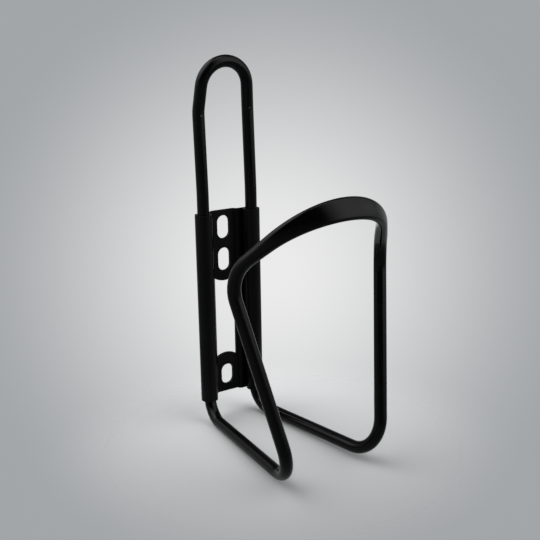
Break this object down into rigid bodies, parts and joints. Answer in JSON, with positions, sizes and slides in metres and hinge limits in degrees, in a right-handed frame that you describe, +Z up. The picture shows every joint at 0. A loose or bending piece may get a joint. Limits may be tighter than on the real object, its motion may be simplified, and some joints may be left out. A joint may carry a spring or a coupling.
{
  "type": "water bottle cage",
  "caption": "Black bicycle bottle cage: bent rod basket with a hoop pressed flat, and a rear loop, held in the rolled edges of a slotted sheet bracket.",
  "frame": {"origin": "centre of the two-bolt pattern, on the rear face of the bracket's web, which lies against the bicycle frame", "axes": "+Y out of the rear face towards the bicycle frame, -Y towards the bottle, +Z up along the bottle, +X to the right seen from the bottle's side"},
  "size_m": [0.068, 0.0838, 0.1491],
  "materials": {
    "rod_paint": "semi-gloss black paint on aluminium rod",
    "bracket_paint": "satin black paint on aluminium sheet"
  },
  "bodies": {
    "root": {"mounting_bracket": "bracket_paint", "rear_loop_rod": "rod_paint", "bottle_basket_rod": "rod_paint"}
  },
  "joints": []
}
